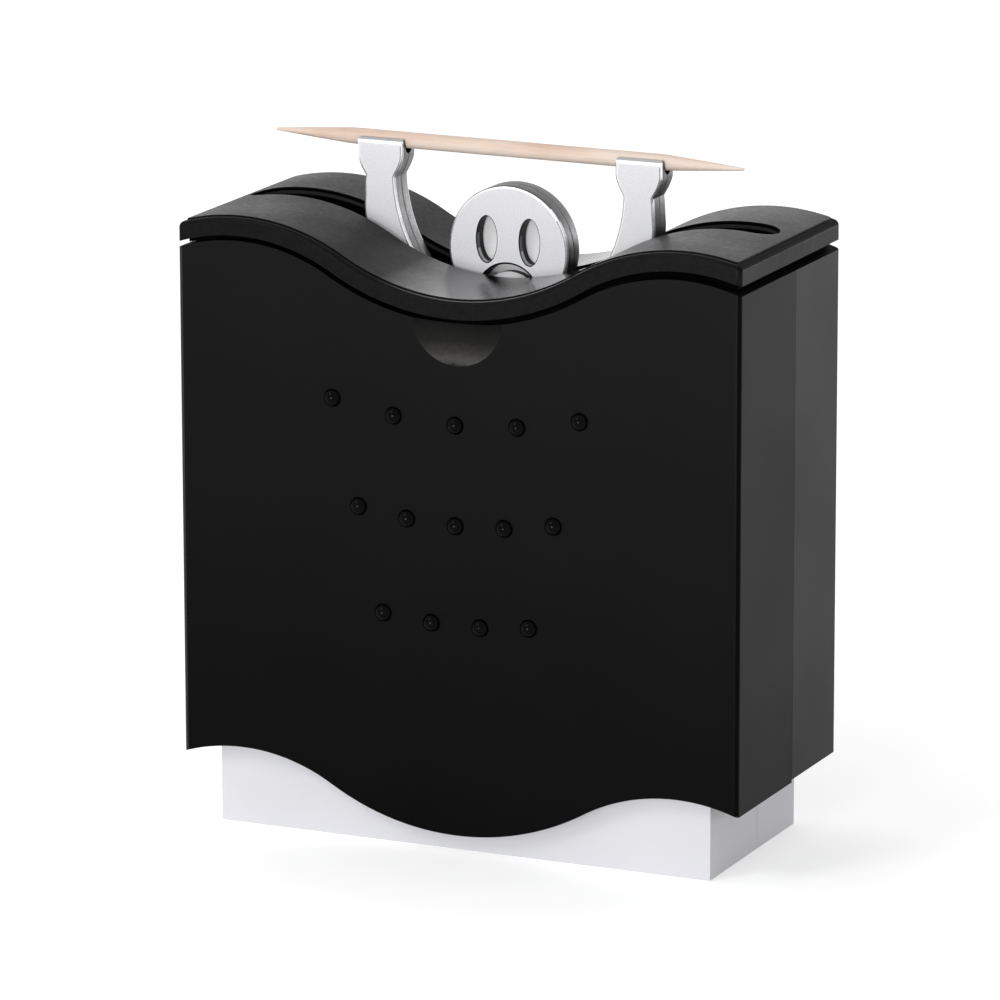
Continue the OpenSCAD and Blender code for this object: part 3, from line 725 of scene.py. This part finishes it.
def make_lid():
    hw, hd = W / 2, D / 2
    rolled, rounding, eased, panel_eased, panel_in = 1.3, 0.6, 0.15, 0.07, 0.85
    bm = bmesh.new()
    prism(bm, rounded(hw, hd, CORNER), LID_LOW, LID_HIGH)
    # The lower rear edge is rolled, the upper edge rounded, and the rest of the lower edge barely eased.
    round_edges(bm, lambda e: sharp(e) and all(v.co.z < LID_LOW + 0.01 and v.co.y > hd - 0.01
                                               for v in e.verts), rolled, 5)
    round_edges(bm, lambda e: sharp(e) and min(v.co.z for v in e.verts) > LID_HIGH - 0.01, rounding, 6)
    round_edges(bm, lambda e: sharp(e) and max(v.co.z for v in e.verts) < LID_LOW + 0.01
                and min(v.co.y for v in e.verts) < hd - 1.6, eased, 2)
    lid = new_object("lid_cover_skin", bm, MAT["lid"], 40)
    # The textured top stands a little proud, so that a fine step runs along the rounded edge.
    bm = bmesh.new()
    prism(bm, rounded(hw - panel_in, hd - panel_in, 0.4), LID_LOW + 0.5, LID_HIGH + PANEL)
    round_edges(bm, lambda e: sharp(e) and min(v.co.z for v in e.verts) > LID_HIGH, panel_eased, 2)
    cut(lid, [new_object("panel", bm, MAT["lid"])], "UNION")
    bm = in_millimetres(lid)
    slice_x(bm)
    to_even_wave(bm, LID_RISE)
    bmesh.ops.transform(bm, matrix=Matrix.Scale(MM, 4), verts=bm.verts)
    bm.to_mesh(lid.data)
    bm.free()
    more_materials(lid, LID_MORE)
    paint(lid, lambda c, n: n.z > 0.8, LID_TOP)
    # The right end's rounded edge takes the duller plastic: painted shade that keeps the rim lamp's highlight
    # off.
    paint(lid, lambda c, n: c.x > hw - 1.5 and n.x > 0.25 and n.z > 0.12, SHADED_LID_EDGE)
    cut(lid, [slot_cutter(LID_HIGH + PANEL, LID_RISE)])
    # A rib under the cover closes the gap above the shells a millimetre in from the edge; its faces are painted
    # shade.
    rib_in, rib_t = 1.0, 0.65
    bm = bmesh.new()
    prism(bm, rounded(hw - rib_in, hd - rib_in, 0.4), SHELL_HIGH + 0.2, LID_LOW + 0.9)
    rib = new_object("rib", bm, MAT["dark"])
    bm = bmesh.new()
    prism(bm, rounded(hw - rib_in - rib_t, hd - rib_in - rib_t, 0.4), SHELL_HIGH - 1, LID_LOW + 2)
    cut(rib, [new_object("inside", bm, MAT["dark"])])
    bm = in_millimetres(rib)
    bpy.data.objects.remove(rib)
    for f in bm.faces:
        f.material_index = SHADED_INSIDE
    slice_x(bm)
    to_even_wave(bm)
    join(lid, bm)
    shade(lid.data, 30)
    return lid


lid = even_normals(make_lid())
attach(lid, "lid")
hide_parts("lid_cover")

# ---------- base ----------


def make_base(front):
    hw, corner, eased = BASE_W / 2, 0.45, 0.14
    y0, y1, s, t = BASE_F, BASE_R, BASE_SEAM, BASE_WALL
    if front:
        out = [(-hw, s), (-hw, y0), (hw, y0), (hw, s)]
        out += [(hw - t, s), (hw - t, y0 + t), (-hw + t, y0 + t), (-hw + t, s)]
    else:
        out = [(hw, s), (hw, y1), (-hw, y1), (-hw, s)]
        out += [(-hw + t, s), (-hw + t, y1 - t), (hw - t, y1 - t), (hw - t, s)]
    bm = bmesh.new()
    prism(bm, out, 0, BASE_H)

    def outer(e):
        return sharp(e) and all(abs(v.co.x) > hw - 0.01 or v.co.y < y0 + 0.01 or v.co.y > y1 - 0.01
                                for v in e.verts)

    def at_corner(e, near):
        return all(abs(v.co.x) > hw - near and (v.co.y < y0 + near or v.co.y > y1 - near) for v in e.verts)

    round_edges(bm, lambda e: outer(e) and at_corner(e, 0.01), corner, 5)
    round_edges(bm, lambda e: outer(e) and not at_corner(e, corner + 0.01), eased, 3)
    return new_object("base_front_wall" if front else "base_rear_wall", bm, MAT["pale"], 40)


def add_box(bm, x0, x1, y0, y1, z0, z1):
    """A box between two values of X, in either order, two of Y and two of Z."""
    x0, x1 = sorted((x0, x1))
    verts = bmesh.ops.create_cube(bm, size=1)["verts"]
    bmesh.ops.scale(bm, vec=(x1 - x0, y1 - y0, z1 - z0), verts=verts)
    bmesh.ops.translate(bm, vec=((x0 + x1) / 2, (y0 + y1) / 2, (z0 + z1) / 2), verts=verts)


def add_boss(bm, x, y, r, z0, z1, along_y=False, n=32):
    """A round boss with a screw's hole through it, along Z, or along Y with y as its height."""
    turn = 360 - 360 / n
    outer, inner = arc(0, 0, r, 0, turn, n - 1), arc(0, 0, BORE_R, 0, turn, n - 1)
    rings = [[bm.verts.new((p[0], p[1], z)) for p in ring] for ring, z in
             ((inner, z0), (outer, z0), (outer, z1), (inner, z1))]
    for a, b in zip(rings, rings[1:] + rings[:1]):
        for i in range(n):
            bm.faces.new((a[i], a[(i + 1) % n], b[(i + 1) % n], b[i]))
    for v in (v for ring in rings for v in ring):
        c = v.co.copy()
        v.co = Vector((x + c.x, c.z, y + c.y)) if along_y else Vector((x + c.x, y + c.y, c.z))


# Inner parts, as in the CAD: bosses for screws, stops that limit the travel, and guides.
PLATE_SCREW_X = 29.4
front_base, rear_base = make_base(True), make_base(False)
for ob, is_front in ((front_base, True), (rear_base, False)):
    bm = bmesh.new()
    inner = BASE_W / 2 - BASE_WALL
    for s in (-1, 1):
        add_boss(bm, s * PLATE_SCREW_X, -9.6 if is_front else 8.6, 3.2, 2.65, 13)
        y = -6 if is_front else 4
        add_box(bm, s * (BASE_W / 2 - 0.5), s * (BASE_W / 2 + 2.1), y + 0.2, y + 3.8, 43.8, 46.8)
        if is_front:
            add_box(bm, s * (inner - 1.3), s * (inner - 0.1), -3, 4, 20, 40)
            add_box(bm, s * (inner - 0.2), s * (inner + 0.2), -3, BASE_SEAM - 0.4, 20, 40)
    join(ob, bm)
    even_normals(ob)
    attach(ob, "base")
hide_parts("base_front_half")
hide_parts("base_rear_half")

for ob, is_front in ((front, True), (rear, False)):
    bm = bmesh.new()
    inner = W / 2 - WALL
    for s in (-1, 1):
        y = -6 if is_front else 4
        add_box(bm, s * (BASE_W / 2 + 0.7), s * (inner + 0.5), y, y + 4, 13, 16)
        y = -11 if is_front else 9.5
        add_box(bm, s * (BASE_W / 2 + 0.2), s * (inner + 0.5), y, y + 2, 12, 48)
        y0, y1 = (-15.3, -0.2) if is_front else (3.3, 15.02)
        add_boss(bm, s * SHELL_SCREW_X, SHELL_SCREW_Z, 2.6, y0, y1, along_y=True)
        if not is_front:
            add_box(bm, s * 20 - 1, s * 20 + 1, 13.85, 15.5, 12, 48)
            add_box(bm, s * (inner - 1.2), s * (inner - 0.1), -1, 3.5, 22, 50)
            add_box(bm, s * (inner - 0.3), s * (inner + 0.3), SEAM + 0.4, 3.5, 22, 50)
    join(ob, bm)
    even_normals(ob)
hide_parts("front_shell")
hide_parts("rear_shell")

# ---------- figure ----------


# A hand: half its width at the wrist and how much it widens, half its flat top, and its corners' radius.
WRIST_HALF, HAND_FLARE, HAND_FLAT, HAND_CORNER = 2.05, 1.17, 2.87, 0.35
WRIST_Z, WRIST_OUT = HAND_TOP - 4.4, 20.38
# The arms' outer and inner arcs as (x, z, radius), and the height at which the arms meet the head.
ARM_OUT, ARM_IN = (9.25, HAND_TOP - 8.3, 11.13), (-4.5, HAND_TOP - 3.7, 20.5)
SHOULDER_Z = 72.0


def hand_half_width(z):
    t = max(0.0, (HAND_TOP - 1.7 - z) / 2.7)
    return WRIST_HALF + HAND_FLARE * (1 - min(1.0, t) ** 1.5)


def figure_outline():
    """Outline in (x, z), anticlockwise from the stem: arm, hand, arm, head, and the same mirrored."""
    right = [(5, 37), (5, 62), (8.5, 68.5)]
    x, z, r = ARM_OUT
    right += arc(x, z, r, -92.3, 0, 44)
    right += [(WRIST_OUT - 0.2 * i / 6, z + (WRIST_Z - z) * i / 6) for i in range(1, 6)]
    heights = [WRIST_Z + (HAND_LIP - WRIST_Z) * i / 16 for i in range(17)]
    side = [h for h in heights if h < HAND_LIP - 0.4]
    turn = [(HAND_CORNER * math.cos(a), HAND_CORNER * math.sin(a)) for a in
            (math.radians(90 * i / 5) for i in range(6))]
    low = HAND_LIP - HAND_CORNER
    right += [(HAND_X + hand_half_width(h), h) for h in side]
    right += [(HAND_X + HAND_FLAT + c, low + d) for c, d in turn]
    right += [(HAND_X + HAND_FLAT - 2 * HAND_FLAT * i / 8, HAND_LIP) for i in range(1, 8)]
    right += [(HAND_X - HAND_FLAT - d, low + c) for c, d in turn]
    right += [(HAND_X - hand_half_width(h), h) for h in reversed(side[1:])]
    x, z, r = ARM_IN
    right += arc(x, z, r, -math.degrees(math.asin((z - WRIST_Z) / r)),
                 -math.degrees(math.asin((z - SHOULDER_Z) / r)), 44)
    a = math.degrees(math.asin((SHOULDER_Z - HEAD_Z) / HEAD_R))
    right += arc(0, HEAD_Z, HEAD_R, a, 90, 60)
    left = [(-x, z) for x, z in reversed(right)][1:]
    return right + left


def upright(bm):
    """Turns a solid drawn in (x, height) and grown along its own Z to face the front."""
    for v in bm.verts:
        v.co = Vector((v.co.x, -v.co.z, v.co.y))


def ellipse(cx, cz, a, b, n=56):
    turns = [2 * math.pi * i / n for i in range(n)]
    return [(cx + a * math.cos(t), cz + b * math.sin(t)) for t in turns]


def pocket(name, outline, face, depth, flare, paint_of, lift=None):
    """A cutter whose mouth flares, so that the pocket's edge is rounded; lift raises its deep end."""
    bm = bmesh.new()
    prism(bm, outline, face - depth, face - 0.85,
          [(0.001, face - 0.12), (flare * 0.17, face - 0.05), (flare * 0.5, face - 0.015),
           (flare, face), (flare * 1.7, face + 0.4)])
    for f in bm.faces:
        f.material_index = paint_of(f.calc_center_median() - Vector((0, 0, face)))
    for v in bm.verts:
        if lift and v.co.z < face - 0.8:
            v.co.y += lift(v.co)
    upright(bm)
    ob = new_object(name, bm, MAT["silver"])
    more_materials(ob, FIGURE_MORE)
    return ob


def along_x(name, profile, x0, x1, index):
    """A cutter with a profile of (y, z) that runs along X; index gives each side face its material."""
    bm = bmesh.new()
    prism(bm, profile, x0, x1)
    for f in bm.faces:
        f.material_index = index(f.calc_center_median())
    for v in bm.verts:
        v.co = Vector((v.co.z, v.co.x, v.co.y))
    return new_object(name, bm, MAT["silver"])


def eye_wall(c):
    """The eye's wall: painted shade, darkest deep in and high up, with painted light near the face low down."""
    if not -0.8 < c.z < -0.1 or c.y > EYE_Z + 0.6:
        return RECESS
    return LIP if c.y < EYE_Z - 1.4 else SHADED_WALL


def u_groove(r, low):
    """Profile of a groove with a round bottom, open at the top."""
    return arc(FIG_Y, low + r, r, 180, 360, 24) + [(FIG_Y + r, HAND_LIP + 1), (FIG_Y - r, HAND_LIP + 1)]


def make_plate(front_half):
    """Half of the figure as a solid with rounded edges, rounder outside than where the halves meet."""
    y0 = FIG_Y - FIG_T / 2 if front_half else FIG_Y
    y1 = y0 + FIG_T / 2
    outer, inner = 0.34, 0.16
    outline = figure_outline()
    bm = bmesh.new()
    # Rings of (growth, place) from the rear face to the front one, in five steps round each edge.
    turns = (0, 0.39, 0.785, 1.18, math.pi / 2)
    rear_b, front_b = (inner, outer) if front_half else (outer, inner)
    rings = [(-rear_b * (1 - math.sin(t)), -y1 + rear_b * (1 - math.cos(t))) for t in turns]
    rings += [(-front_b * (1 - math.sin(t)), -y0 - front_b * (1 - math.cos(t))) for t in reversed(turns)]
    rows = []
    for g, z in rings:
        rows.append([bm.verts.new((p[0], p[1], z)) for p in (grown(outline, g) if g < -1e-6 else outline)])
    n = len(outline)
    # The rounded rows are bright, apart from where the outline climbs so steeply that they turn from the light.
    # The highlight on these rows is painted, and the rows that turn from the light take the walls' painted
    # shade.
    highlight_rows = (5, 6, 7, 8) if front_half else (0, 1, 2, 3)
    for k, (lo, hi) in enumerate(zip(rows, rows[1:])):
        for i in range(n):
            f = bm.faces.new((lo[i], lo[(i + 1) % n], hi[(i + 1) % n], hi[i]))
            (x0, z0), (x1, z1) = outline[i], outline[(i + 1) % n]
            t = (z1 - z0) / math.hypot(x1 - x0, z1 - z0)
            dim = {8: t > 0.84, 6: t < 0.72, 5: t < 0.86}
            f.material_index = EDGE_HIGHLIGHT if k in highlight_rows and not dim.get(k) else SHADED_WALL
    bm.faces.new(list(reversed(rows[0])))
    f = bm.faces.new(rows[-1])
    # The rear plate's face, seen through the eyes and the mouth, takes the paler silver: painted light.
    f.material_index = FACE if front_half else LIT_INNER
    upright(bm)
    ob = new_object("figure_front_plate" if front_half else "figure_rear_plate", bm, MAT["silver"], 30)
    more_materials(ob, FIGURE_MORE)
    if not front_half:
        ob.data.materials[SHADED_WALL] = MAT["rear_wall"]
    return ob


def hand_cutters():
    """The groove that each hand holds the toothpick in, which opens out beside the toothpick."""
    cutters = []
    for s in (-1, 1):
        x = s * HAND_X
        # The groove's walls are painted shade; where it opens out beside the toothpick, darker painted shade.
        cutters.append(along_x("groove%d" % s, u_groove(1.15, HAND_TOP - 1.05), x - 5, x + 5,
                               lambda c: SHADED_WALL))
        for t in (-1, 1):
            a, b = sorted((x + t * 2.5, x + t * 5))
            cutters.append(along_x("mouth%d%d" % (s, t), u_groove(1.0, HAND_TOP - 1.45), a, b,
                                   lambda c: RECESS))
    return cutters


def lip_cutter(front):
    """Rounds the hands' upper front edge over; front is the place of the front face."""
    r = 0.9
    low = HAND_LIP - r

    def lip_paint(c):
        # Face colour low on the round, a painted highlight in its middle, grey painted shade at its top.
        return FACE if c.y < low + 0.3 * r else EDGE_HIGHLIGHT if c.y < low + 0.72 * r else LIP

    turns = (math.pi / 2 * i / 10 for i in range(11))
    bend = [(front + r - r * math.cos(a), low + r * math.sin(a)) for a in turns]
    profile = [(front - 1, low)] + bend + [(front + r, HAND_LIP + 1), (front - 1, HAND_LIP + 1)]
    return along_x("lip", list(reversed(profile)), -26, 26, lip_paint)


def mouth_cutter(front):
    """An arched mouth whose lower side is a flatter arc, slanted so that it catches the light."""
    top, half, upper_r, lower_r, height = HEAD_Z - 1.85, 4.0, 4.3, 6.5, 1.65
    upper = [(upper_r * math.sin(a), top - upper_r + upper_r * math.cos(a)) for a in
             (math.asin(half / upper_r) * (1 - 2 * i / 30) for i in range(31))]
    lower = [(lower_r * math.sin(a), top - height - lower_r + lower_r * math.cos(a)) for a in
             (math.asin(half / lower_r) * (2 * i / 24 - 1) for i in range(25))]

    def below(c):
        middle = top - height + 0.15 - lower_r
        return abs(c.x) < half - 0.1 and c.y < middle + math.sqrt(max(0.0, lower_r ** 2 - c.x * c.x))

    # The slanted lower side takes the paler inner silver, painted light; the other walls are painted shade.
    return pocket("mouth", upper + lower, -front, 2.5, 0.26,
                  lambda c: LIT_INNER if below(c) and -0.85 < c.z < 0 else RECESS,
                  lambda c: 0.55 * max(0.0, 1 - (c.x / 3.6) ** 2) if below(c) else 0.0)


def make_figure(front_half):
    ob = make_plate(front_half)
    cutters = hand_cutters()
    if front_half:
        front = FIG_Y - FIG_T / 2
        cutters.append(lip_cutter(front))
        for s in (-1, 1):
            cutters.append(pocket("eye%d" % s, ellipse(s * EYE_X, EYE_Z, 1.41, 3.02), -front, 2.5, 0.12,
                                  eye_wall))
        cutters.append(mouth_cutter(front))
    cut(ob, cutters)
    shade(ob.data, 25)
    even_normals(ob)
    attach(ob, "base")
    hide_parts("figure_front_half" if front_half else "figure_rear_half")


make_figure(True)
make_figure(False)

# ---------- toothpicks ----------

def add_pick(bm, place, seed, sides=24, rings=72):
    """One stick along X: turned body, long tapered points, and the faint unevenness of split wood."""
    rnd = random.Random(seed)
    flats, waist = rnd.uniform(0, 6.28), rnd.uniform(0, 6.28)
    rows = []
    for i in range(rings + 1):
        t = i / rings
        # Rings lie closer together towards the points.
        t = 0.5 - 0.5 * math.cos(math.pi * t) if i not in (0, rings) else t
        x = -PICK_L / 2 + PICK_L * t
        end = min(x + PICK_L / 2, PICK_L / 2 - x)
        r = TIP_R + (PICK_R - TIP_R) * min(1.0, end / POINT) ** 0.9
        thin = 0.012 * (1 + math.sin(x * 0.31 + waist)) / 2
        row = []
        for j in range(sides):
            a = 2 * math.pi * j / sides
            k = 1 - 0.022 * (1 + math.sin(3 * a + flats + x * 0.05)) / 2 - thin
            row.append(bm.verts.new(place @ Vector((x, r * k * math.cos(a), r * k * math.sin(a)))))
        rows.append(row)
    for a, b in zip(rows, rows[1:]):
        for j in range(sides):
            bm.faces.new((a[j], a[(j + 1) % sides], b[(j + 1) % sides], b[j]))
    bm.faces.new(list(reversed(rows[0])))
    bm.faces.new(rows[-1])


# The one on offer lies a millimetre to the left and leans by a third of a degree.
bm = bmesh.new()
lean = Matrix.Rotation(math.radians(0.3), 4, "Y")
add_pick(bm, Matrix.Translation((-1, FIG_Y, HAND_TOP + 0.17)) @ lean, 1)
pick = new_object("toothpick_on_offer", bm, MAT["wood"], 50)
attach(pick, "toothpick")
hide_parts("toothpick")

# The spare ones lie side by side on the hopper's two slopes, each a little to the left or right.
angle_a = math.atan2(6.5, TROUGH_A + HOP_Y)
angle_b = math.atan2(5.0, HOP_Y - TROUGH_B)
slope_a = Matrix.Translation((0, TROUGH_A, TROUGH_Z)) @ Matrix.Rotation(-angle_a, 4, "X")
slope_b = Matrix.Translation((0, TROUGH_B, TROUGH_Z)) @ Matrix.Rotation(angle_b, 4, "X")
PITCH, LOW_ROW, HIGH_ROW = 2.1, PICK_R + 0.05, PICK_R + 1.92
# slope, number, first seed, first place along the slope, step, height, middle of X, swing of X
LAYERS = ((slope_a, 5, 10, -2.3, -PITCH, LOW_ROW, -0.6, 1.2),
          (slope_a, 3, 20, -5.45, -PITCH, HIGH_ROW, -0.7, 1.4),
          (slope_b, 4, 30, 2.3, PITCH, LOW_ROW, 0.6, -1.2))
bm = bmesh.new()
for slope, number, seed, first, step, height, x, swing in LAYERS:
    for i in range(number):
        place = Matrix.Translation((x + (i % 2) * swing, first + step * i, height))
        add_pick(bm, slope @ place, seed + i, 16, 40)
spare = new_object("spare_toothpicks", bm, MAT["wood"], 50)
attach(spare, "housing")
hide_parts("stored_toothpicks")

# ---------- return springs: each stretches between the base and the housing ----------

def make_spring(side):
    bm = bmesh.new()
    per_turn, sides, r, w = 20, 8, SPRING_R, WIRE_R
    z0, z1 = SPRING_LOW, SPRING_HIGH
    steps = SPRING_TURNS * per_turn
    rows = []
    for i in range(steps + 1):
        a, z = 2 * math.pi * i / per_turn, z0 + (z1 - z0) * i / steps
        rows.append([bm.verts.new((side * SPRING_X + (r + w * math.cos(b)) * math.cos(a),
                                   FIG_Y + (r + w * math.cos(b)) * math.sin(a), z + w * math.sin(b)))
                     for b in (2 * math.pi * j / sides for j in range(sides))])
    for a, b in zip(rows, rows[1:]):
        for j in range(sides):
            bm.faces.new((a[j], b[j], b[(j + 1) % sides], a[(j + 1) % sides]))
    bm.faces.new(rows[0])
    bm.faces.new(list(reversed(rows[-1])))
    name = "right" if side > 0 else "left"
    ob = new_object("spring_wire_" + name, bm, MAT["spring"], 60)
    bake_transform(ob)
    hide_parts("return_spring_" + name)


make_spring(-1)
make_spring(1)

# ---------- CAD nodes that keep their shape ----------

KEPT = {"base_bottom_plate": "pale", "base_plate_screws": "steel", "figure_post": "post",
        "figure_cross_screws": "steel", "figure_foot_screws": "steel", "shell_screws": "steel",
        "hopper": "hopper", "lid_liner": "hopper", "lid_liner_screws": "steel"}
for node_name, key in KEPT.items():
    ob = NODES[node_name]
    ob.data.materials.clear()
    ob.data.materials.append(MAT[key])

# ---------- floor, light ----------


def sees_background(nt, ln):
    """1 for the rays that show the background: the camera's, and those through metal and glass."""
    path = nt.new("ShaderNodeLightPath")
    first, both = nt.new("ShaderNodeMath"), nt.new("ShaderNodeMath")
    first.operation = both.operation = "MAXIMUM"
    ln.new(path.outputs["Is Camera Ray"], first.inputs[0])
    ln.new(path.outputs["Is Glossy Ray"], first.inputs[1])
    ln.new(first.outputs[0], both.inputs[0])
    ln.new(path.outputs["Is Transmission Ray"], both.inputs[1])
    return both.outputs[0]


def make_floor():
    """A plain pale floor, six metres square."""
    bm = bmesh.new()
    bmesh.ops.create_grid(bm, x_segments=1, y_segments=1, size=3)
    me = bpy.data.meshes.new("floor")
    bm.to_mesh(me)
    bm.free()
    ob = bpy.data.objects.new("floor", me)
    bpy.context.scene.collection.objects.link(ob)
    m = bpy.data.materials.new("pale_floor")
    m.use_nodes = True
    nt, ln = m.node_tree.nodes, m.node_tree.links
    sh, out = nt["Principled BSDF"], nt["Material Output"]
    sh.inputs["Base Color"].default_value = (0.93, 0.93, 0.93, 1)
    sh.inputs["Roughness"].default_value = 0.9
    sh.inputs["Specular IOR Level"].default_value = 0.0
    # As background, the floor is lifted to white and keeps its shadow.
    lift = nt.new("ShaderNodeMath")
    lift.operation = "MULTIPLY"
    lift.inputs[1].default_value = 0.42
    ln.new(sees_background(nt, ln), lift.inputs[0])
    sh.inputs["Emission Color"].default_value = (1, 1, 1, 1)
    ln.new(lift.outputs[0], sh.inputs["Emission Strength"])
    me.materials.append(m)


make_floor()


def area_light(name, place, size, power):
    """A square white lamp that faces the middle of the object; metres and watts."""
    lt = bpy.data.lights.new(name, "AREA")
    lt.energy = power
    lt.size = size
    ob = bpy.data.objects.new(name, lt)
    ob.location = place
    aim = Vector((0, 0, 0.04))
    ob.rotation_euler = (aim - Vector(place)).to_track_quat("-Z", "Y").to_euler()
    bpy.context.scene.collection.objects.link(ob)


area_light("front", (-0.05, -1.0, 0.07), 0.14, 3.35)
area_light("key", (-0.36, -0.66, 0.76), 0.25, 1.4)
area_light("rim", (0.80, 0.32, 0.30), 0.1, 0.42)
area_light("side", (0.50, 0.95, 0.12), 0.3, 1.2)

world = bpy.data.worlds.new("studio")
bpy.context.scene.world = world
world.use_nodes = True
wn, wl = world.node_tree.nodes, world.node_tree.links
# The room lights the object more from the left and from behind than from the right and overhead.
place = wn.new("ShaderNodeTexCoord")
lean = wn.new("ShaderNodeVectorMath")
lean.operation = "DOT_PRODUCT"
lean.inputs[1].default_value = (-0.75, 0.12, -0.45)
wl.new(place.outputs["Generated"], lean.inputs[0])
fade = wn.new("ShaderNodeMapRange")
fade.interpolation_type = "SMOOTHSTEP"
for end, value in (("From Min", -0.75), ("From Max", 0.35), ("To Min", 0.42), ("To Max", 1.05)):
    fade.inputs[end].default_value = value
wl.new(lean.outputs["Value"], fade.inputs["Value"])
room = wn["Background"]
room.inputs["Color"].default_value = (1, 1, 1, 1)
wl.new(fade.outputs["Result"], room.inputs["Strength"])
# As background it is plain white.
white = wn.new("ShaderNodeBackground")
white.inputs["Color"].default_value = (1, 1, 1, 1)
white.inputs["Strength"].default_value = 1.0
mix = wn.new("ShaderNodeMixShader")
wl.new(sees_background(wn, wl), mix.inputs[0])
wl.new(room.outputs[0], mix.inputs[1])
wl.new(white.outputs[0], mix.inputs[2])
wl.new(mix.outputs[0], wn["World Output"].inputs["Surface"])

bpy.context.scene.view_settings.view_transform = "Standard"
